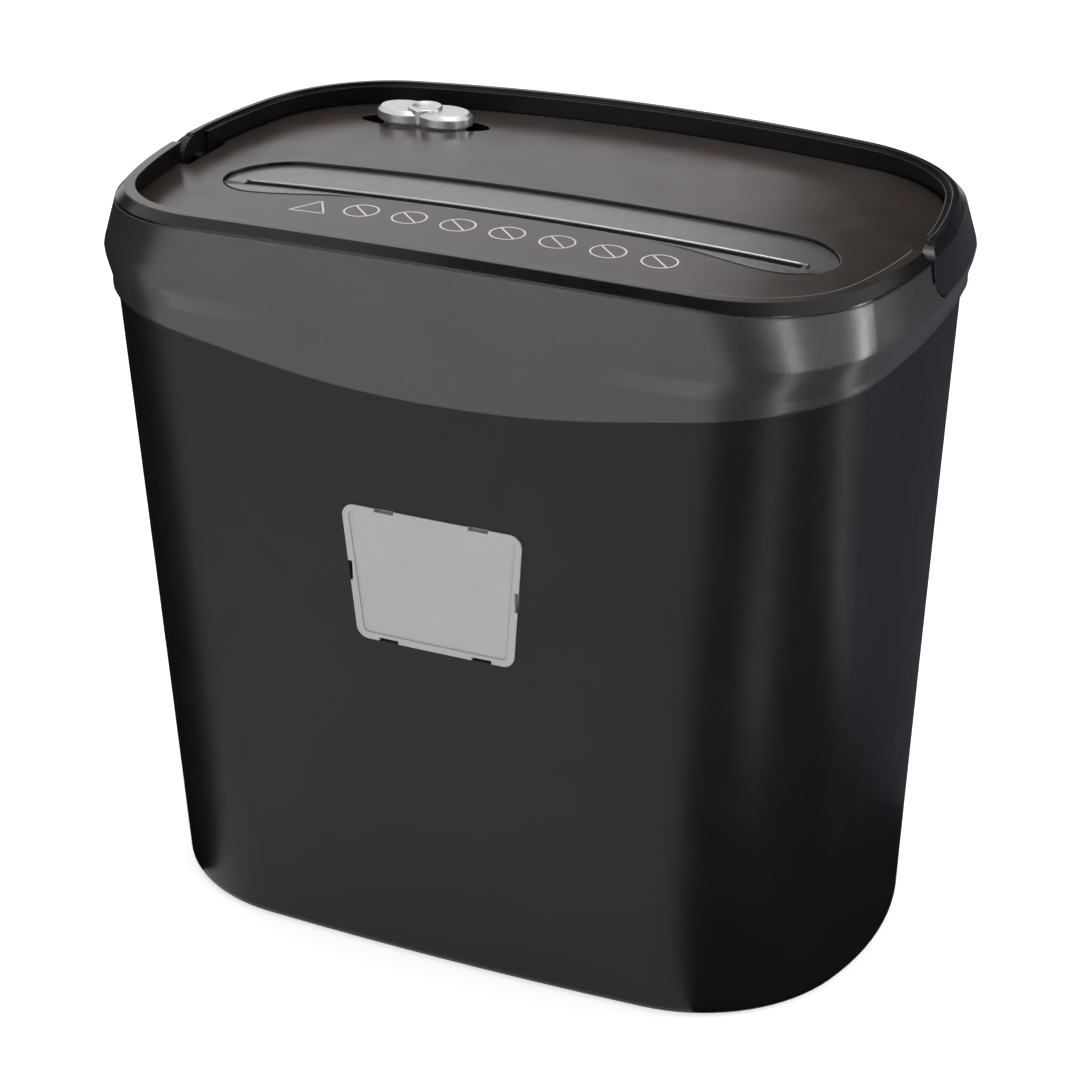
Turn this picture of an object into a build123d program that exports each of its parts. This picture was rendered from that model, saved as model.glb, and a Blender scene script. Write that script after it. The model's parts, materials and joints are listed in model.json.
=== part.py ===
"""Desk-side paper shredder: a lift-off cutting head on a tapered waste bin.

Millimetres, +Z up, the front faces -Y.  The origin is the centre of the base.
"""
from build123d import *
from functools import lru_cache
from math import acos, asin, atan2, cos, pi, radians, sin, sqrt, tan
import os

# ---------------------------------------------------------------- driving dimensions
CLEAR = 0.3                 # gap between neighbouring pieces that only seat on each other
RUNNING = 0.05              # radial clearance of a running fit

# waste bin: half sizes at the mouth, and how much narrower the foot is
BIN_MOUTH_HALF_WIDTH = 152.1
BIN_MOUTH_HALF_DEPTH = 98.0
BIN_MOUTH_CORNER = 50.0
BIN_WIDTH_DRAFT = 6.0
BIN_DEPTH_DRAFT = 10.0
BIN_FOOT_CORNER = 66.0
BIN_WALL = 2.4
BIN_FLOOR = 3.0
BIN_FOOT_ROUND = 5.0
BIN_LIP = 0.7               # bead along the bin's mouth: how far it stands out, and its height
BIN_LIP_HEIGHT = 2.0
BOW = 2.0                   # how far the long walls bulge
SIDE_BOW = 3.0              # how far the end walls bulge

# seam between head and bin: lowest in the middle of the front
SEAM_HEIGHT = 240.0
SEAM_RISE = 15.0
SEAM_INSET = 12.1           # the seam has risen fully this far inside the mouth's ends

# window in the front wall of the bin
WINDOW_TOP_WIDTH = 73.4
WINDOW_FOOT_WIDTH = 64.0
WINDOW_FOOT_HEIGHT = 138.7
WINDOW_HEIGHT = 55.0
WINDOW_CORNER = 5.0
WINDOW_BORDER = 2.8
WINDOW_FLANGE = 3.0
WINDOW_FLANGE_THICK = 1.4
WINDOW_PROUD = 0.5
WINDOW_FIT = 0.15
CLIP_NOTCH_X = 19.0
CLIP_NOTCH_WIDTH = 8.0
CLIP_NOTCH_DEPTH = 1.5

# head: belt where it is widest, rim above it and crowned top
BELT_LIFT = 15.0            # belt above the bin's mouth
BELT_FLARE = 6.9            # belt beyond the bin's mouth at the ends
BELT_PROUD = 1.8            # and at front and back
BELT_CORNER = 48.0
HEAD_RISE = 26.5            # crest above the belt
CROWN_RADIUS = 2120.0
HEAD_WALL = 2.4
RIM_DROP = 7.5              # ends of the rim below the crest
RIM_TUCK = 3.0              # how far the ends lean in from belt to rim
RIM_FRONT_TUCK = 0.6
RIM_BACK_TUCK = 1.2
RIM_CORNER = 55.0
HEAD_BOW = 4.0
HEAD_SIDE_BOW = 5.0
RIM_BEVEL = 2.5             # bevel along the outer edge of the rim: width and drop
RIM_BEVEL_DROP = 3.6
RIM_WIDTH = 6.5
RIM_CAP = 4.2               # height of the rim that belongs to the top panel
PANEL_DEPTH = 9.0           # how far the panel lies below the crest
PANEL_THICK = 2.5

# carry handle
HANDLE_THICK = 7.5
HANDLE_GAP = 0.4
HANDLE_LIFT = 2.0           # foot of the handle above the belt
HANDLE_STEP = 2.8           # width of the lower step inside the handle's top
HANDLE_STEP_DROP = 1.3
HUB_RADIUS = 9.0
HUB_Y = 1.0
HUB_LIFT = 9.0              # pivot axis above the foot of the handle
HUB_INSET = 8.5             # inner face of each ear inside the belt
HUB_NOTCH = 12.0            # swing room in front of the hub axis, at the rim
HUB_SWEEP = 14.0            # swing room behind the hub axis
HUB_PAD = 4.0               # wall that carries the pivot pin
PIVOT_RADIUS = 2.5
PIVOT_DEPTH = 3.6

# feed slot and silver bezel
SLOT_END = 3.5              # slot's end inside the side plates
SLOT_GAP = 5.0
SLOT_Y = -24.5
BEZEL_END = 11.0            # bezel beyond the slot at each end
BEZEL_BEHIND = 28.5
BEZEL_AHEAD = 11.5
BEZEL_LIP = 1.2             # lip in front of the slot, in the middle
BEZEL_THICK = 4.0
BEZEL_PROUD = 0.3
BEZEL_SINK = 1.3            # how far the bezel lies below the panel behind the slot
BEZEL_SWELL = 32.0          # the ends start to swell this far in
LIP_RUN = 3.0               # the lip slopes down to the slot over this depth
BEAD_WIDTH = 1.5            # raised bead behind the slot and at its ends
BEAD_HEIGHT = 0.6
CHUTE_WALL = 2.2
CHUTE_LIFT = 14.0           # foot of the chute above the cutter axes

# mode knob in its well
KNOB_INSET = 35.5           # knob's middle inside the left plate
KNOB_BACK = 33.8            # knob's middle in front of the belt's back
KNOB_LENGTH = 41.0
KNOB_WIDTH = 18.0
KNOB_HEIGHT = 6.0
KNOB_LOBE = 12.0            # half length of each of its two lobes
KNOB_RING = 7.0             # raised ring round the dished finger rest
KNOB_DISH = 5.4
KNOB_DISH_DEPTH = 1.3
KNOB_WELL_LENGTH = 57.0
KNOB_WELL_WIDTH = 17.0
KNOB_WELL_DEPTH = 4.0
KNOB_WELL_WALL = 1.6
KNOB_TRAVEL = 5.0
SWITCH_HEIGHT = 13.0
SWITCH_FLOOR = 5.0

# cutting unit
GEAR_ROOM = 35.6            # inner face of the side plates inside the bin's mouth
PLATE_THICK = 3.0
PLATE_END = 27.0            # plate beyond the cutter axes
CUTTER_SPACING = 33.0
CUTTER_DROP = 38.5          # cutter axes below the crest
CUTTER_RADIUS = 17.5
CUTTER_ROOT = 15.3
CORE_RADIUS = 11.0
JOURNAL_RADIUS = 6.0
DISC_THICK = 5.2
DISC_PITCH = 11.0
DISC_END = 6.5              # free shaft beside the discs
DISC_TEETH = 7
DISC_TWIST = 13.0
COMB_PLATE = 3.0
COMB_GAP = 0.7
FINGER_WIDTH = 4.6
ROD_RADIUS = 3.0
ROD_OFFSET = 21.5           # tie rods in front of and behind the cutters
ROD_DROP = 20.5
FOOT_REACH = 9.0            # feet of the plates
ROD_LIFT = 13.5
PLATE_LIFT = 17.0           # top of the plates above the cutter axes
COMB_DROP = 15.0
COMB_LIFT = 8.0
FINGER_SETBACK = 3.0
BUSH_RADIUS = 9.0
BUSH_FLANGE = 11.0

# gear train: teeth and modules of the three reductions and the timing pair
MODULE_1, PINION_1, WHEEL_1 = 0.8, 10, 44
MODULE_2, PINION_2, WHEEL_2 = 1.0, 10, 34
MODULE_3, PINION_3, WHEEL_3 = 1.25, 12, 30
TIMING_MODULE, TIMING_TEETH = 1.5, 22
GEAR_LAYER = 7.0
BACKLASH = 0.16
TIP_FACTOR = 0.75
ROOT_FACTOR = 1.15
UNDERCUT = 0.75
FIRST_STUD_RADIUS = 2.4
STUD_RADIUS = 2.6
STUD_SHOULDER = 0.4
STUD_TIP = 0.6               # stud end beyond its clip
FACE_STEP = 0.5              # axial gap between neighbouring gear layers
CLIP_THICK = 1.0
CLIP_REACH = 2.2
MOTOR_TIP_RADIUS = 1.6

# heights of the gear axes from the cutter axes: the train is folded to save depth
SECOND_DROP = 9.0
FIRST_LIFT = 4.0
MOTOR_DROP = 5.5

# motor
MOTOR_CORE = 42.0
MOTOR_STACK = 30.0
ARMATURE_RADIUS = 11.4
MOTOR_SHAFT_RADIUS = 3.0
MOTOR_LENGTH = 78.0
MOTOR_BOLT = 15.0
BRACKET = 4.0
SPIGOT_RADIUS = 8.0
COMMUTATOR_RADIUS = 8.0
FAN_RADIUS = 17.0
FAN_BLADES = 9
ARMATURE_SLOTS = 10
VENT_COUNT = 9

# tray under the head
TRAY_GAP = 1.4
TRAY_WALL = 2.2
TRAY_DROP = 30.0            # underside of the tray below the cutter axes
TRAY_FLOOR = 2.5
TRAY_LIFT = 2.0             # flange above the bin's mouth
TRAY_FLANGE = 2.0
THROAT = 9.0                # the throat reaches this far past each cutter axis
BOSS_RADIUS = 4.0
BOSS_INSET = 2.5            # the bosses clear the tray's corners by this much
RIB_HEIGHT = 10.0
RIB_LENGTH = 20.0
RIB_THICK = 2.4
RIB_OUT = 7.0               # ribs reach out from the bosses to the wall
SCREW_RADIUS = 1.6

# cord gland
GLAND_X = 40.0
GLAND_DROP = 7.0            # below the tray's flange
GLAND_RADIUS = 5.0
GLAND_BORE = 3.2

# interlock
INTERLOCK_INSET = 2.9       # plunger inside the outer face of the mouth
INTERLOCK_Y = 20.0
INTERLOCK_HEIGHT = 8.0
INTERLOCK_HALF = 8.0        # half length of its housing
INTERLOCK_OUT = 2.2         # outer face beyond the plunger's axis
PLUNGER_RADIUS = 1.3

# control board
BOARD_WIDTH = 74.0
BOARD_DEPTH = 46.0
BOARD_INSET = 12.5          # board's end inside the left plate
BOARD_BEHIND = 36.0         # board behind the rear cutter axis
BOARD_STAND = 5.0
BOARD_THICK = 1.6

# ---------------------------------------------------------------- derived places
MOUTH_TOP = SEAM_HEIGHT + SEAM_RISE
BIN_TAPER_HEIGHT = MOUTH_TOP - 5.0
BELT_HEIGHT = MOUTH_TOP + BELT_LIFT
HEAD_HEIGHT = BELT_HEIGHT + HEAD_RISE
RIM_HEIGHT = HEAD_HEIGHT - RIM_DROP
BELT_HALF_WIDTH = BIN_MOUTH_HALF_WIDTH + BELT_FLARE
BELT_HALF_DEPTH = BIN_MOUTH_HALF_DEPTH + BELT_PROUD
HANDLE_FOOT = BELT_HEIGHT + HANDLE_LIFT
HUB_Z = HANDLE_FOOT + HUB_LIFT
HUB_FACE = BELT_HALF_WIDTH - HUB_INSET
CUTTER_Z = HEAD_HEIGHT - CUTTER_DROP
TRAY_FLOOR_Z = CUTTER_Z - TRAY_DROP
FLOOR_TOP = TRAY_FLOOR_Z + TRAY_FLOOR
TRAY_TOP = MOUTH_TOP + TRAY_LIFT
FLANGE_TOP = TRAY_TOP + TRAY_FLANGE
PLATE_FACE = BIN_MOUTH_HALF_WIDTH - GEAR_ROOM
PLATE_OUTER = PLATE_FACE + PLATE_THICK
FRONT_CUTTER_Y = SLOT_Y - CUTTER_SPACING / 2
REAR_CUTTER_Y = SLOT_Y + CUTTER_SPACING / 2
DISC_COUNT = int(2 * (PLATE_FACE - DISC_END) / DISC_PITCH)
SLOT_HALF = PLATE_FACE - SLOT_END
SLOT_BACK = SLOT_Y + SLOT_GAP / 2
SLOT_FRONT = SLOT_Y - SLOT_GAP / 2
BEZEL_HALF = SLOT_HALF + BEZEL_END
BEZEL_BACK = SLOT_Y + BEZEL_BEHIND
BEZEL_FRONT = SLOT_Y - BEZEL_AHEAD
CHUTE_FOOT = CUTTER_Z + CHUTE_LIFT
KNOB_X = KNOB_INSET - PLATE_FACE
KNOB_Y = BELT_HALF_DEPTH - KNOB_BACK
GLAND_Z = TRAY_TOP - GLAND_DROP
INTERLOCK_X = BIN_MOUTH_HALF_WIDTH - INTERLOCK_INSET
PLUNGER_FOOT = MOUTH_TOP + 1.0
BOARD_X0 = BOARD_INSET - PLATE_FACE
BOARD_X1 = BOARD_X0 + BOARD_WIDTH
BOARD_Y0 = REAR_CUTTER_Y + BOARD_BEHIND
BOARD_Y1 = BOARD_Y0 + BOARD_DEPTH
BOARD_Z = FLOOR_TOP + BOARD_STAND
BIG = 400.0                 # reach of cutting tools, beyond every piece
parts = {}


def keep(name, shape):
    """File a finished piece under its node name."""
    parts[name] = shape


# ---------------------------------------------------------------- outlines and forms
def outline(half_width, front, back, corner, z, bow=BOW, side_bow=SIDE_BOW):
    """A rounded rectangle with slightly bowed sides, as a face at height z."""
    middle = (front + back) / 2
    corner_x = half_width - corner - side_bow
    corner_y = (back - front) / 2 - corner - bow
    side_lean = asin(2 * side_bow * corner_y / (corner_y**2 + side_bow**2))
    long_lean = asin(2 * bow * corner_x / (corner_x**2 + bow**2))

    def at(sx, sy, angle):
        x = corner_x + corner * cos(angle)
        y = corner_y + corner * sin(angle)
        return (sx * x, middle + sy * y, z)

    low, high = side_lean, pi / 2 - long_lean
    mean = (low + high) / 2
    edges = [
        ThreePointArc(at(1, -1, low), (half_width, middle, z), at(1, 1, low)),
        ThreePointArc(at(1, 1, low), at(1, 1, mean), at(1, 1, high)),
        ThreePointArc(at(1, 1, high), (0, back, z), at(-1, 1, high)),
        ThreePointArc(at(-1, 1, high), at(-1, 1, mean), at(-1, 1, low)),
        ThreePointArc(at(-1, 1, low), (-half_width, middle, z), at(-1, -1, low)),
        ThreePointArc(at(-1, -1, low), at(-1, -1, mean), at(-1, -1, high)),
        ThreePointArc(at(-1, -1, high), (0, front, z), at(1, -1, high)),
        ThreePointArc(at(1, -1, high), at(1, -1, mean), at(1, -1, low)),
    ]
    return Face(Wire(edges))


def bin_outline(z, inset):
    """Section of the bin at height z, moved in by inset."""
    down = (BIN_TAPER_HEIGHT - z) / (BIN_TAPER_HEIGHT - BIN_FOOT_ROUND)
    width = BIN_MOUTH_HALF_WIDTH - BIN_WIDTH_DRAFT * down
    depth = BIN_MOUTH_HALF_DEPTH - BIN_DEPTH_DRAFT * down
    corner = BIN_MOUTH_CORNER + (BIN_FOOT_CORNER - BIN_MOUTH_CORNER) * down
    return outline(width - inset, inset - depth, depth - inset, corner - inset, z)


@lru_cache
def bin_form(inset, low, high):
    """The tapered body of the bin between two heights, moved in by inset."""
    return loft([bin_outline(low, inset), bin_outline(high, inset)], ruled=True)


# height, half width, front, back, corner and bows of the head's sections
NECK_HEIGHT = MOUTH_TOP + 4.0
NECK_HALF_WIDTH = BIN_MOUTH_HALF_WIDTH + 2.6
NECK_HALF_DEPTH = BELT_HALF_DEPTH - 0.4
NECK_CORNER = BIN_MOUTH_CORNER + 2.0
TOP_RUN = (HEAD_HEIGHT + 6.5 - BELT_HEIGHT) / (RIM_HEIGHT - BELT_HEIGHT)
BELT_ROUND = 2.5
HEAD_SECTIONS = [
    (TRAY_FLOOR_Z, NECK_HALF_WIDTH, -NECK_HALF_DEPTH, NECK_HALF_DEPTH, NECK_CORNER, BOW, SIDE_BOW),
    (NECK_HEIGHT, NECK_HALF_WIDTH, -NECK_HALF_DEPTH, NECK_HALF_DEPTH, NECK_CORNER, BOW, SIDE_BOW),
    (BELT_HEIGHT - 2 * BELT_ROUND, BELT_HALF_WIDTH - 1.6, -BELT_HALF_DEPTH, BELT_HALF_DEPTH - 0.2,
     BELT_CORNER - 1.0, HEAD_BOW, HEAD_SIDE_BOW),
    (BELT_HEIGHT - BELT_ROUND, BELT_HALF_WIDTH - 0.4, -BELT_HALF_DEPTH, BELT_HALF_DEPTH, BELT_CORNER,
     HEAD_BOW, HEAD_SIDE_BOW),
    (BELT_HEIGHT, BELT_HALF_WIDTH, -BELT_HALF_DEPTH, BELT_HALF_DEPTH, BELT_CORNER,
     HEAD_BOW, HEAD_SIDE_BOW),
    (BELT_HEIGHT + BELT_ROUND, BELT_HALF_WIDTH - 0.2, -BELT_HALF_DEPTH, BELT_HALF_DEPTH - 0.1,
     BELT_CORNER + 0.8, HEAD_BOW, HEAD_SIDE_BOW),
    (HEAD_HEIGHT + 6.5, BELT_HALF_WIDTH - RIM_TUCK * TOP_RUN, RIM_FRONT_TUCK - BELT_HALF_DEPTH,
     BELT_HALF_DEPTH - RIM_BACK_TUCK * TOP_RUN, BELT_CORNER + (RIM_CORNER - BELT_CORNER) * TOP_RUN,
     HEAD_BOW, HEAD_SIDE_BOW),
]


@lru_cache
def head_form(inset):
    """The whole outer form of the head, moved in by inset."""
    faces = [outline(width - inset, front + inset, back - inset, corner - inset, z, bow, side_bow)
             for z, width, front, back, corner, bow, side_bow in HEAD_SECTIONS]
    return loft(faces, ruled=True)


@lru_cache
def under_crown(drop):
    """Everything below a surface that lies drop under the crowned top."""
    reach = BIG / 2
    sag = CROWN_RADIUS - sqrt(CROWN_RADIUS**2 - reach**2)
    top = HEAD_HEIGHT - drop
    lines = [
        ThreePointArc((-reach, 0, top - sag), (0, 0, top), (reach, 0, top - sag)),
        Line((reach, 0, top - sag), (reach, 0, 0)),
        Line((reach, 0, 0), (-reach, 0, 0)),
        Line((-reach, 0, 0), (-reach, 0, top - sag)),
    ]
    return extrude(Face(Wire(lines)), amount=BIG / 2, dir=(0, 1, 0), both=True)


@lru_cache
def crowned_head():
    """The head's outer form below the crown, with a bevelled edge round the top."""
    solid = head_form(0) & under_crown(0)
    top = solid.faces().sort_by(Axis.Z)[-1]
    return chamfer(top.edges(), RIM_BEVEL, RIM_BEVEL_DROP, reference=top)


def crown_band(upper, lower):
    """The layer between two depths below the crowned top."""
    return under_crown(upper) - under_crown(lower)


@lru_cache
def under_seam(lift):
    """Everything below the curved seam, raised by lift."""
    half = [(0, 0), (0.36, 0.17), (0.72, 0.66), (1.0, 1.0), (1.24, 1.12)]
    reach = BIN_MOUTH_HALF_WIDTH - SEAM_INSET
    right = [(x * reach, 0, SEAM_HEIGHT + SEAM_RISE * rise + lift) for x, rise in half]
    left = [(-x, y, z) for x, y, z in right[:0:-1]]
    curve = Spline(left + right)
    a, b = left[0], right[-1]
    lines = [curve, Line(b, (b[0], 0, -1)), Line((b[0], 0, -1), (a[0], 0, -1)), Line((a[0], 0, -1), a)]
    return extrude(Face(Wire(lines)), amount=BIG / 2, dir=(0, 1, 0), both=True)


def box(x0, x1, y0, y1, z0, z1):
    """A box between two corners."""
    return Pos((x0 + x1) / 2, (y0 + y1) / 2, (z0 + z1) / 2) * Box(x1 - x0, y1 - y0, z1 - z0)


def bar_x(x0, x1, y, z, radius):
    """A round bar along X."""
    return extrude(Plane((x0, y, z), x_dir=(0, 1, 0), z_dir=(1, 0, 0)) * Circle(radius), x1 - x0)


def bar_z(x, y, z0, z1, radius):
    """A round bar along Z."""
    return Pos(x, y, (z0 + z1) / 2) * Cylinder(radius, z1 - z0)


def through_x(y, z, radius):
    """A long round bar along X that bores whatever it meets."""
    return bar_x(-BIG / 2, BIG / 2, y, z, radius)


def profile_x(points, x0, x1):
    """A polygon in Y and Z, drawn out along X."""
    face = make_face(Polyline(*[(x0, y, z) for y, z in points], close=True))
    return extrude(face, amount=x1 - x0, dir=(1, 0, 0))


def both_sides(shape):
    """A shape on +X together with its mirror image on -X."""
    return [shape, mirror(shape, about=Plane.YZ)]


# ---------------------------------------------------------------- bin and window
def window_prism(grow):
    """The window's trapezium, drawn through the front wall of the bin."""
    foot = WINDOW_FOOT_HEIGHT - grow
    top = WINDOW_FOOT_HEIGHT + WINDOW_HEIGHT + grow
    corners = [(-WINDOW_FOOT_WIDTH / 2 - grow, foot), (WINDOW_FOOT_WIDTH / 2 + grow, foot),
               (WINDOW_TOP_WIDTH / 2 + grow, top), (-WINDOW_TOP_WIDTH / 2 - grow, top)]
    face = make_face(Polyline(*[(x, 0, z) for x, z in corners], close=True))
    face = face.face()
    face = face.fillet_2d(WINDOW_CORNER + grow, face.vertices())
    return extrude(face, amount=BIG / 2, dir=(0, -1, 0))


def make_bin():
    outer = bin_form(0, BIN_FOOT_ROUND, MOUTH_TOP + 6)
    foot = extrude(bin_outline(BIN_FOOT_ROUND, 0), amount=-BIN_FOOT_ROUND)
    outer = outer + foot
    outer = fillet(outer.edges().group_by(Axis.Z)[0], BIN_FOOT_ROUND - 0.2)
    inner = bin_form(BIN_WALL, BIN_FLOOR + 0.01, MOUTH_TOP + 7)
    shell = (outer - inner) & under_seam(-CLEAR)
    lip = bin_form(-BIN_LIP, SEAM_HEIGHT - 20, MOUTH_TOP + 6) - bin_form(0.5, SEAM_HEIGHT - 20, MOUTH_TOP + 6)
    shell = shell + (lip & (under_seam(-CLEAR) - under_seam(-CLEAR - BIN_LIP_HEIGHT)))
    return shell - window_prism(0)


def front_skin(outer, inner):
    """The layer of the bin's wall between two insets, round the window."""
    low = WINDOW_FOOT_HEIGHT - 20
    high = WINDOW_FOOT_HEIGHT + WINDOW_HEIGHT + 20
    return bin_form(outer, low, high) - bin_form(inner, low, high)


def make_window():
    lens = front_skin(-WINDOW_PROUD, BIN_WALL + 0.5) & window_prism(-WINDOW_FIT)
    sunk = front_skin(-1, 0.1) & window_prism(-WINDOW_BORDER)
    back = front_skin(BIN_WALL - 0.4, BIN_WALL + 2) & window_prism(-WINDOW_BORDER)
    flange = front_skin(BIN_WALL + 0.03, BIN_WALL + WINDOW_FLANGE_THICK) & window_prism(WINDOW_FLANGE)
    middle = WINDOW_FOOT_HEIGHT + WINDOW_HEIGHT / 2
    top = WINDOW_FOOT_HEIGHT + WINDOW_HEIGHT
    mean = (WINDOW_TOP_WIDTH + WINDOW_FOOT_WIDTH) / 4
    half, deep = CLIP_NOTCH_WIDTH / 2, CLIP_NOTCH_DEPTH
    notches = []
    for x in (-CLIP_NOTCH_X, CLIP_NOTCH_X):
        notches.append(box(x - half, x + half, -BIG, 0, WINDOW_FOOT_HEIGHT - 2, WINDOW_FOOT_HEIGHT + deep))
        notches.append(box(x - half, x + half, -BIG, 0, top - deep, top + 2))
    for x in (-mean, mean):
        notches.append(box(x - deep, x + deep, -BIG, 0, middle - half, middle + half))
    body = lens + flange - sunk - back
    skin = front_skin(-2, BIN_WALL - 0.6)
    for notch in notches:
        body = body - (notch & skin)
    return body


# ---------------------------------------------------------------- head shell
def swing_room():
    """Space that the cover leaves for the handle, its ears and their swing."""
    top = HEAD_HEIGHT + 20
    band = head_form(-2) - head_form(HANDLE_THICK + HANDLE_GAP)
    band = band & box(-BIG, BIG, HUB_Y, BIG, HANDLE_FOOT - HANDLE_GAP, top)
    face = HUB_FACE - HANDLE_GAP
    ears = []
    for hub in both_sides(bar_x(face, BIG / 2, HUB_Y, HUB_Z, HUB_RADIUS + 2 * HANDLE_GAP)):
        ears.append(hub)
    for sweep in both_sides(box(face, BIG / 2, HUB_Y, HUB_Y + HUB_SWEEP, HANDLE_FOOT - HANDLE_GAP, top)):
        ears.append(sweep)
    for notch in both_sides(box(face, BIG / 2, HUB_Y - HUB_NOTCH, HUB_Y + 10, HUB_Z - 1, top)):
        ears.append(notch)
    rim_notch = head_form(-2) - head_form(HANDLE_THICK + HANDLE_GAP)
    rim_notch = rim_notch & box(-BIG, BIG, HUB_Y - HUB_NOTCH, HUB_Y + 1, HUB_Z + 2.5, top)
    room = band + rim_notch
    for ear in ears:
        room = room + ear
    return room


def corner_bosses():
    """Places of the four screw bosses that tie tray and cover together."""
    reach = BIN_MOUTH_CORNER - BIN_WALL - TRAY_GAP - TRAY_WALL - BOSS_RADIUS - BOSS_INSET
    x = BIN_MOUTH_HALF_WIDTH - BIN_MOUTH_CORNER - SIDE_BOW + reach / sqrt(2)
    y = BIN_MOUTH_HALF_DEPTH - BIN_MOUTH_CORNER - BOW + reach / sqrt(2)
    return [(x, y), (-x, y), (-x, -y), (x, -y)]


def gland_bar(radius):
    """A round bar through the back wall at the cord gland."""
    return Pos(GLAND_X, BELT_HALF_DEPTH - 5, GLAND_Z) * Rot(90, 0, 0) * Cylinder(radius, 24)


def make_cover(room):
    outer = head_form(0)
    thin = outer - head_form(HEAD_WALL)
    rear_wall = head_form(HANDLE_THICK + HANDLE_GAP) - head_form(HANDLE_THICK + HANDLE_GAP + HEAD_WALL)
    ledge_top = HANDLE_FOOT - HANDLE_GAP
    rear_wall = rear_wall & box(-BIG, BIG, HUB_Y - HUB_NOTCH - 4, BIG, ledge_top - HEAD_WALL, BIG)
    ledge = head_form(1) - head_form(HANDLE_THICK + HANDLE_GAP + 1)
    ledge = ledge & box(-BIG, BIG, HUB_Y - HUB_NOTCH - 4, BIG, ledge_top - HEAD_WALL, ledge_top)
    pads = both_sides(box(HUB_FACE - HANDLE_GAP - HUB_PAD, HUB_FACE + 12, HUB_Y - HUB_NOTCH - 3,
                          HUB_Y + HUB_SWEEP + 3, HUB_Z - HUB_RADIUS - 4, HUB_Z + 3.5))
    cover = thin + rear_wall + ledge
    for pad in pads:
        cover = cover + (pad & outer)
    front_end = HUB_Y - HUB_NOTCH
    for wall in both_sides(box(HUB_FACE - 3, BIG, front_end - 3, front_end, ledge_top - HEAD_WALL, BIG)):
        cover = cover + (wall & outer)
    cover = (cover - room) & under_crown(RIM_CAP)
    rear = box(-BIG, BIG, front_end, BIG, HANDLE_FOOT - 2, BIG)
    under_panel = under_crown(PANEL_DEPTH + PANEL_THICK)
    cover = cover - (rear - under_panel)
    front = box(-BIG, BIG, -BIG, front_end, 0, BIG)
    cover = cover - ((head_form(RIM_WIDTH - HEAD_WALL) & front) - under_panel)
    cover = cover - under_seam(0)
    rib_top = FLANGE_TOP + RIB_HEIGHT
    for x, y in corner_bosses():
        sx, sy = (1 if x > 0 else -1), (1 if y > 0 else -1)
        rib = box(-RIB_LENGTH / 2, RIB_LENGTH / 2, -RIB_THICK / 2, RIB_THICK / 2, FLANGE_TOP + 0.2, rib_top)
        rib = Pos(x + sx * RIB_OUT, y + sy * RIB_OUT) * Rot(0, 0, 45 * sx * sy) * rib
        cover = cover + ((bar_z(x, y, FLOOR_TOP, rib_top, BOSS_RADIUS) + rib) & head_form(1))
        cover = cover - bar_z(x, y, FLOOR_TOP - 1, FLOOR_TOP + 16, SCREW_RADIUS)
    cover = cover - through_x(HUB_Y, HUB_Z, PIVOT_RADIUS + 0.01)
    cover = cover - gland_bar(GLAND_RADIUS)
    reach = INTERLOCK_HALF + CLEAR
    cover = cover - box(-INTERLOCK_X - INTERLOCK_OUT - CLEAR, -INTERLOCK_X, INTERLOCK_Y - reach,
                        INTERLOCK_Y + reach, PLUNGER_FOOT, FLANGE_TOP + INTERLOCK_HEIGHT + CLEAR)
    return cover


def make_top_panel(room):
    depth = PANEL_DEPTH
    floor = crown_band(depth, depth + PANEL_THICK)
    plate = head_form(RIM_WIDTH) & floor
    behind = box(-BIG, BIG, HUB_Y - HUB_NOTCH, BIG, 0, BIG)
    edge = HANDLE_THICK + 2 * HANDLE_GAP
    plate = plate - (behind - head_form(edge))
    crest = crowned_head() - under_crown(RIM_CAP)
    upstand = head_form(RIM_WIDTH - HEAD_WALL) & crown_band(0.5, depth + PANEL_THICK)
    rim = (crest + upstand) - head_form(RIM_WIDTH)
    rim = rim - behind
    panel = plate + rim
    panel = panel - room
    for notch in both_sides(box(HUB_FACE - HANDLE_GAP - HUB_PAD - 0.2, BIG, HUB_Y - HUB_NOTCH,
                                HUB_Y + HUB_SWEEP + 3.2, HANDLE_FOOT, BIG)):
        panel = panel - notch
    place = Pos(KNOB_X, KNOB_Y, HEAD_HEIGHT)
    half_long, half_wide = KNOB_WELL_LENGTH / 2, KNOB_WELL_WIDTH / 2
    well_outer = Ellipse(half_long + KNOB_WELL_WALL, half_wide + KNOB_WELL_WALL)
    well_outer = place * extrude(well_outer, 40, both=True)
    well_inner = place * extrude(Ellipse(half_long, half_wide), 40, both=True)
    panel = panel + (well_outer & crown_band(depth, depth + KNOB_WELL_DEPTH + KNOB_WELL_WALL))
    panel = panel - (well_inner & crown_band(-5, depth + KNOB_WELL_DEPTH))
    slit = place * Box(2 * KNOB_TRAVEL + 7, 4.4, 80)
    panel = panel - slit
    return panel - bezel_prism(CLEAR)


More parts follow.
